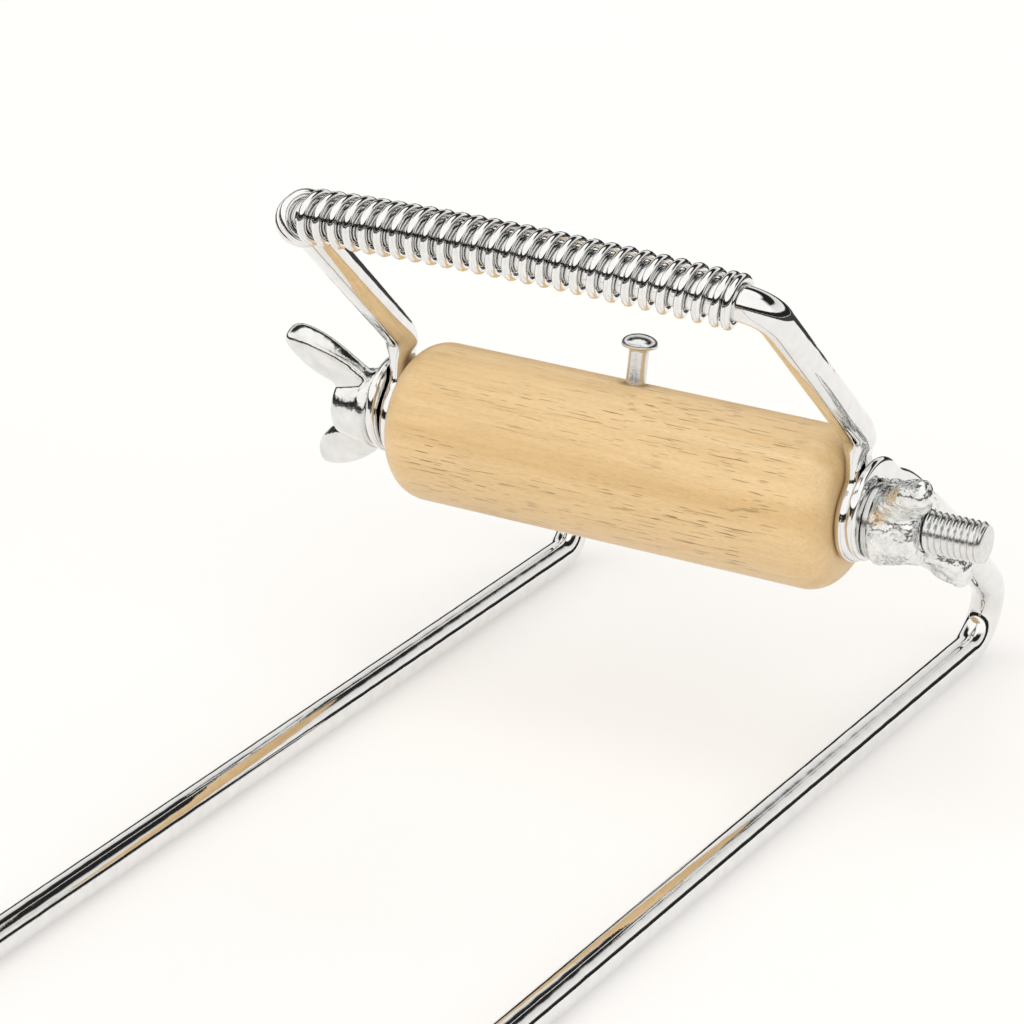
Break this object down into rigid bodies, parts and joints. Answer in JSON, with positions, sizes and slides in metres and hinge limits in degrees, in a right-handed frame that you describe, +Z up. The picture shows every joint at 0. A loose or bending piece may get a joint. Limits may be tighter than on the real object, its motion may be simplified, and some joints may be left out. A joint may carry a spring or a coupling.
{
  "type": "bead loom",
  "caption": "Wire bead loom with hooked side rods, wooden rollers on wing nut axles, warp pins and swinging bails that carry coil springs as thread spacers.",
  "frame": {"origin": "on the table, midway between the two ends and the two side rods", "axes": "+Y along the loom towards the far end, +Z up, +X to the right, along the axles"},
  "size_m": [0.0918, 0.3174, 0.0702],
  "materials": {
    "frame_chrome": "bright chrome plated wire",
    "spring_chrome": "bright nickel chrome spring wire",
    "roller_wood": "pale hardwood with fine dark pores, sanded and lightly sealed",
    "pin_steel": "bright plated steel rivet",
    "axle_steel": "zinc plated threaded rod",
    "washer_zinc": "zinc plated steel",
    "plated_nut": "smooth bright plated casting",
    "zinc_nut": "slightly rough bright zinc plated casting with a small brown stain"
  },
  "bodies": {
    "frame": {"side_rod_left": "frame_chrome", "side_rod_right": "frame_chrome", "far_axle": "axle_steel", "near_axle": "axle_steel"},
    "far_roller": {"far_roller": "roller_wood", "far_warp_pin": "pin_steel"},
    "far_bail": {"far_bail": "frame_chrome", "far_spacer_spring": "spring_chrome"},
    "far_washer_left": {"far_washer_left": "washer_zinc"},
    "far_wing_nut_left": {"far_wing_nut_left": "plated_nut"},
    "far_washer_right": {"far_washer_right": "washer_zinc"},
    "far_wing_nut_right": {"far_wing_nut_right": "zinc_nut"},
    "near_roller": {"near_roller": "roller_wood", "near_warp_pin": "pin_steel"},
    "near_bail": {"near_bail": "frame_chrome", "near_spacer_spring": "spring_chrome"},
    "near_washer_left": {"near_washer_left": "washer_zinc"},
    "near_wing_nut_left": {"near_wing_nut_left": "zinc_nut"},
    "near_washer_right": {"near_washer_right": "washer_zinc"},
    "near_wing_nut_right": {"near_wing_nut_right": "plated_nut"}
  },
  "joints": [
    {"name": "far_roller_turn", "type": "hinge", "parent": "frame", "child": "far_roller", "pos_m": [0, 0.1165, 0.0332], "axis": [1, 0, 0], "continuous": true},
    {"name": "far_bail_swing", "type": "hinge", "parent": "frame", "child": "far_bail", "pos_m": [0, 0.1165, 0.0332], "axis": [1, 0, 0], "range_deg": [-48, 90]},
    {"name": "far_left_nut_travel", "type": "slide", "parent": "frame", "child": "far_washer_left", "axis": [-1, 0, 0], "range_m": [0, 0.00161]},
    {"name": "far_left_nut_turn", "type": "hinge", "parent": "far_washer_left", "child": "far_wing_nut_left", "pos_m": [0, 0.1165, 0.0332], "axis": [-1, 0, 0], "range_deg": [0, 720]},
    {"name": "far_right_nut_travel", "type": "slide", "parent": "frame", "child": "far_washer_right", "axis": [1, 0, 0], "range_m": [0, 0.00161]},
    {"name": "far_right_nut_turn", "type": "hinge", "parent": "far_washer_right", "child": "far_wing_nut_right", "pos_m": [0, 0.1165, 0.0332], "axis": [1, 0, 0], "range_deg": [0, 720]},
    {"name": "near_roller_turn", "type": "hinge", "parent": "frame", "child": "near_roller", "pos_m": [0, -0.1165, 0.0332], "axis": [-1, 0, 0], "continuous": true},
    {"name": "near_bail_swing", "type": "hinge", "parent": "frame", "child": "near_bail", "pos_m": [0, -0.1165, 0.0332], "axis": [-1, 0, 0], "range_deg": [-48, 90]},
    {"name": "near_left_nut_travel", "type": "slide", "parent": "frame", "child": "near_washer_left", "axis": [-1, 0, 0], "range_m": [0, 0.00161]},
    {"name": "near_left_nut_turn", "type": "hinge", "parent": "near_washer_left", "child": "near_wing_nut_left", "pos_m": [0, -0.1165, 0.0332], "axis": [-1, 0, 0], "range_deg": [0, 720]},
    {"name": "near_right_nut_travel", "type": "slide", "parent": "frame", "child": "near_washer_right", "axis": [1, 0, 0], "range_m": [0, 0.00161]},
    {"name": "near_right_nut_turn", "type": "hinge", "parent": "near_washer_right", "child": "near_wing_nut_right", "pos_m": [0, -0.1165, 0.0332], "axis": [1, 0, 0], "range_deg": [0, 720]}
  ],
  "couplings": [
    {"joint": "far_left_nut_travel", "follows": "far_left_nut_turn", "m_per_rad": 0.00012732},
    {"joint": "far_right_nut_travel", "follows": "far_right_nut_turn", "m_per_rad": 0.00012732},
    {"joint": "near_left_nut_travel", "follows": "near_left_nut_turn", "m_per_rad": 0.00012732},
    {"joint": "near_right_nut_travel", "follows": "near_right_nut_turn", "m_per_rad": 0.00012732}
  ]
}
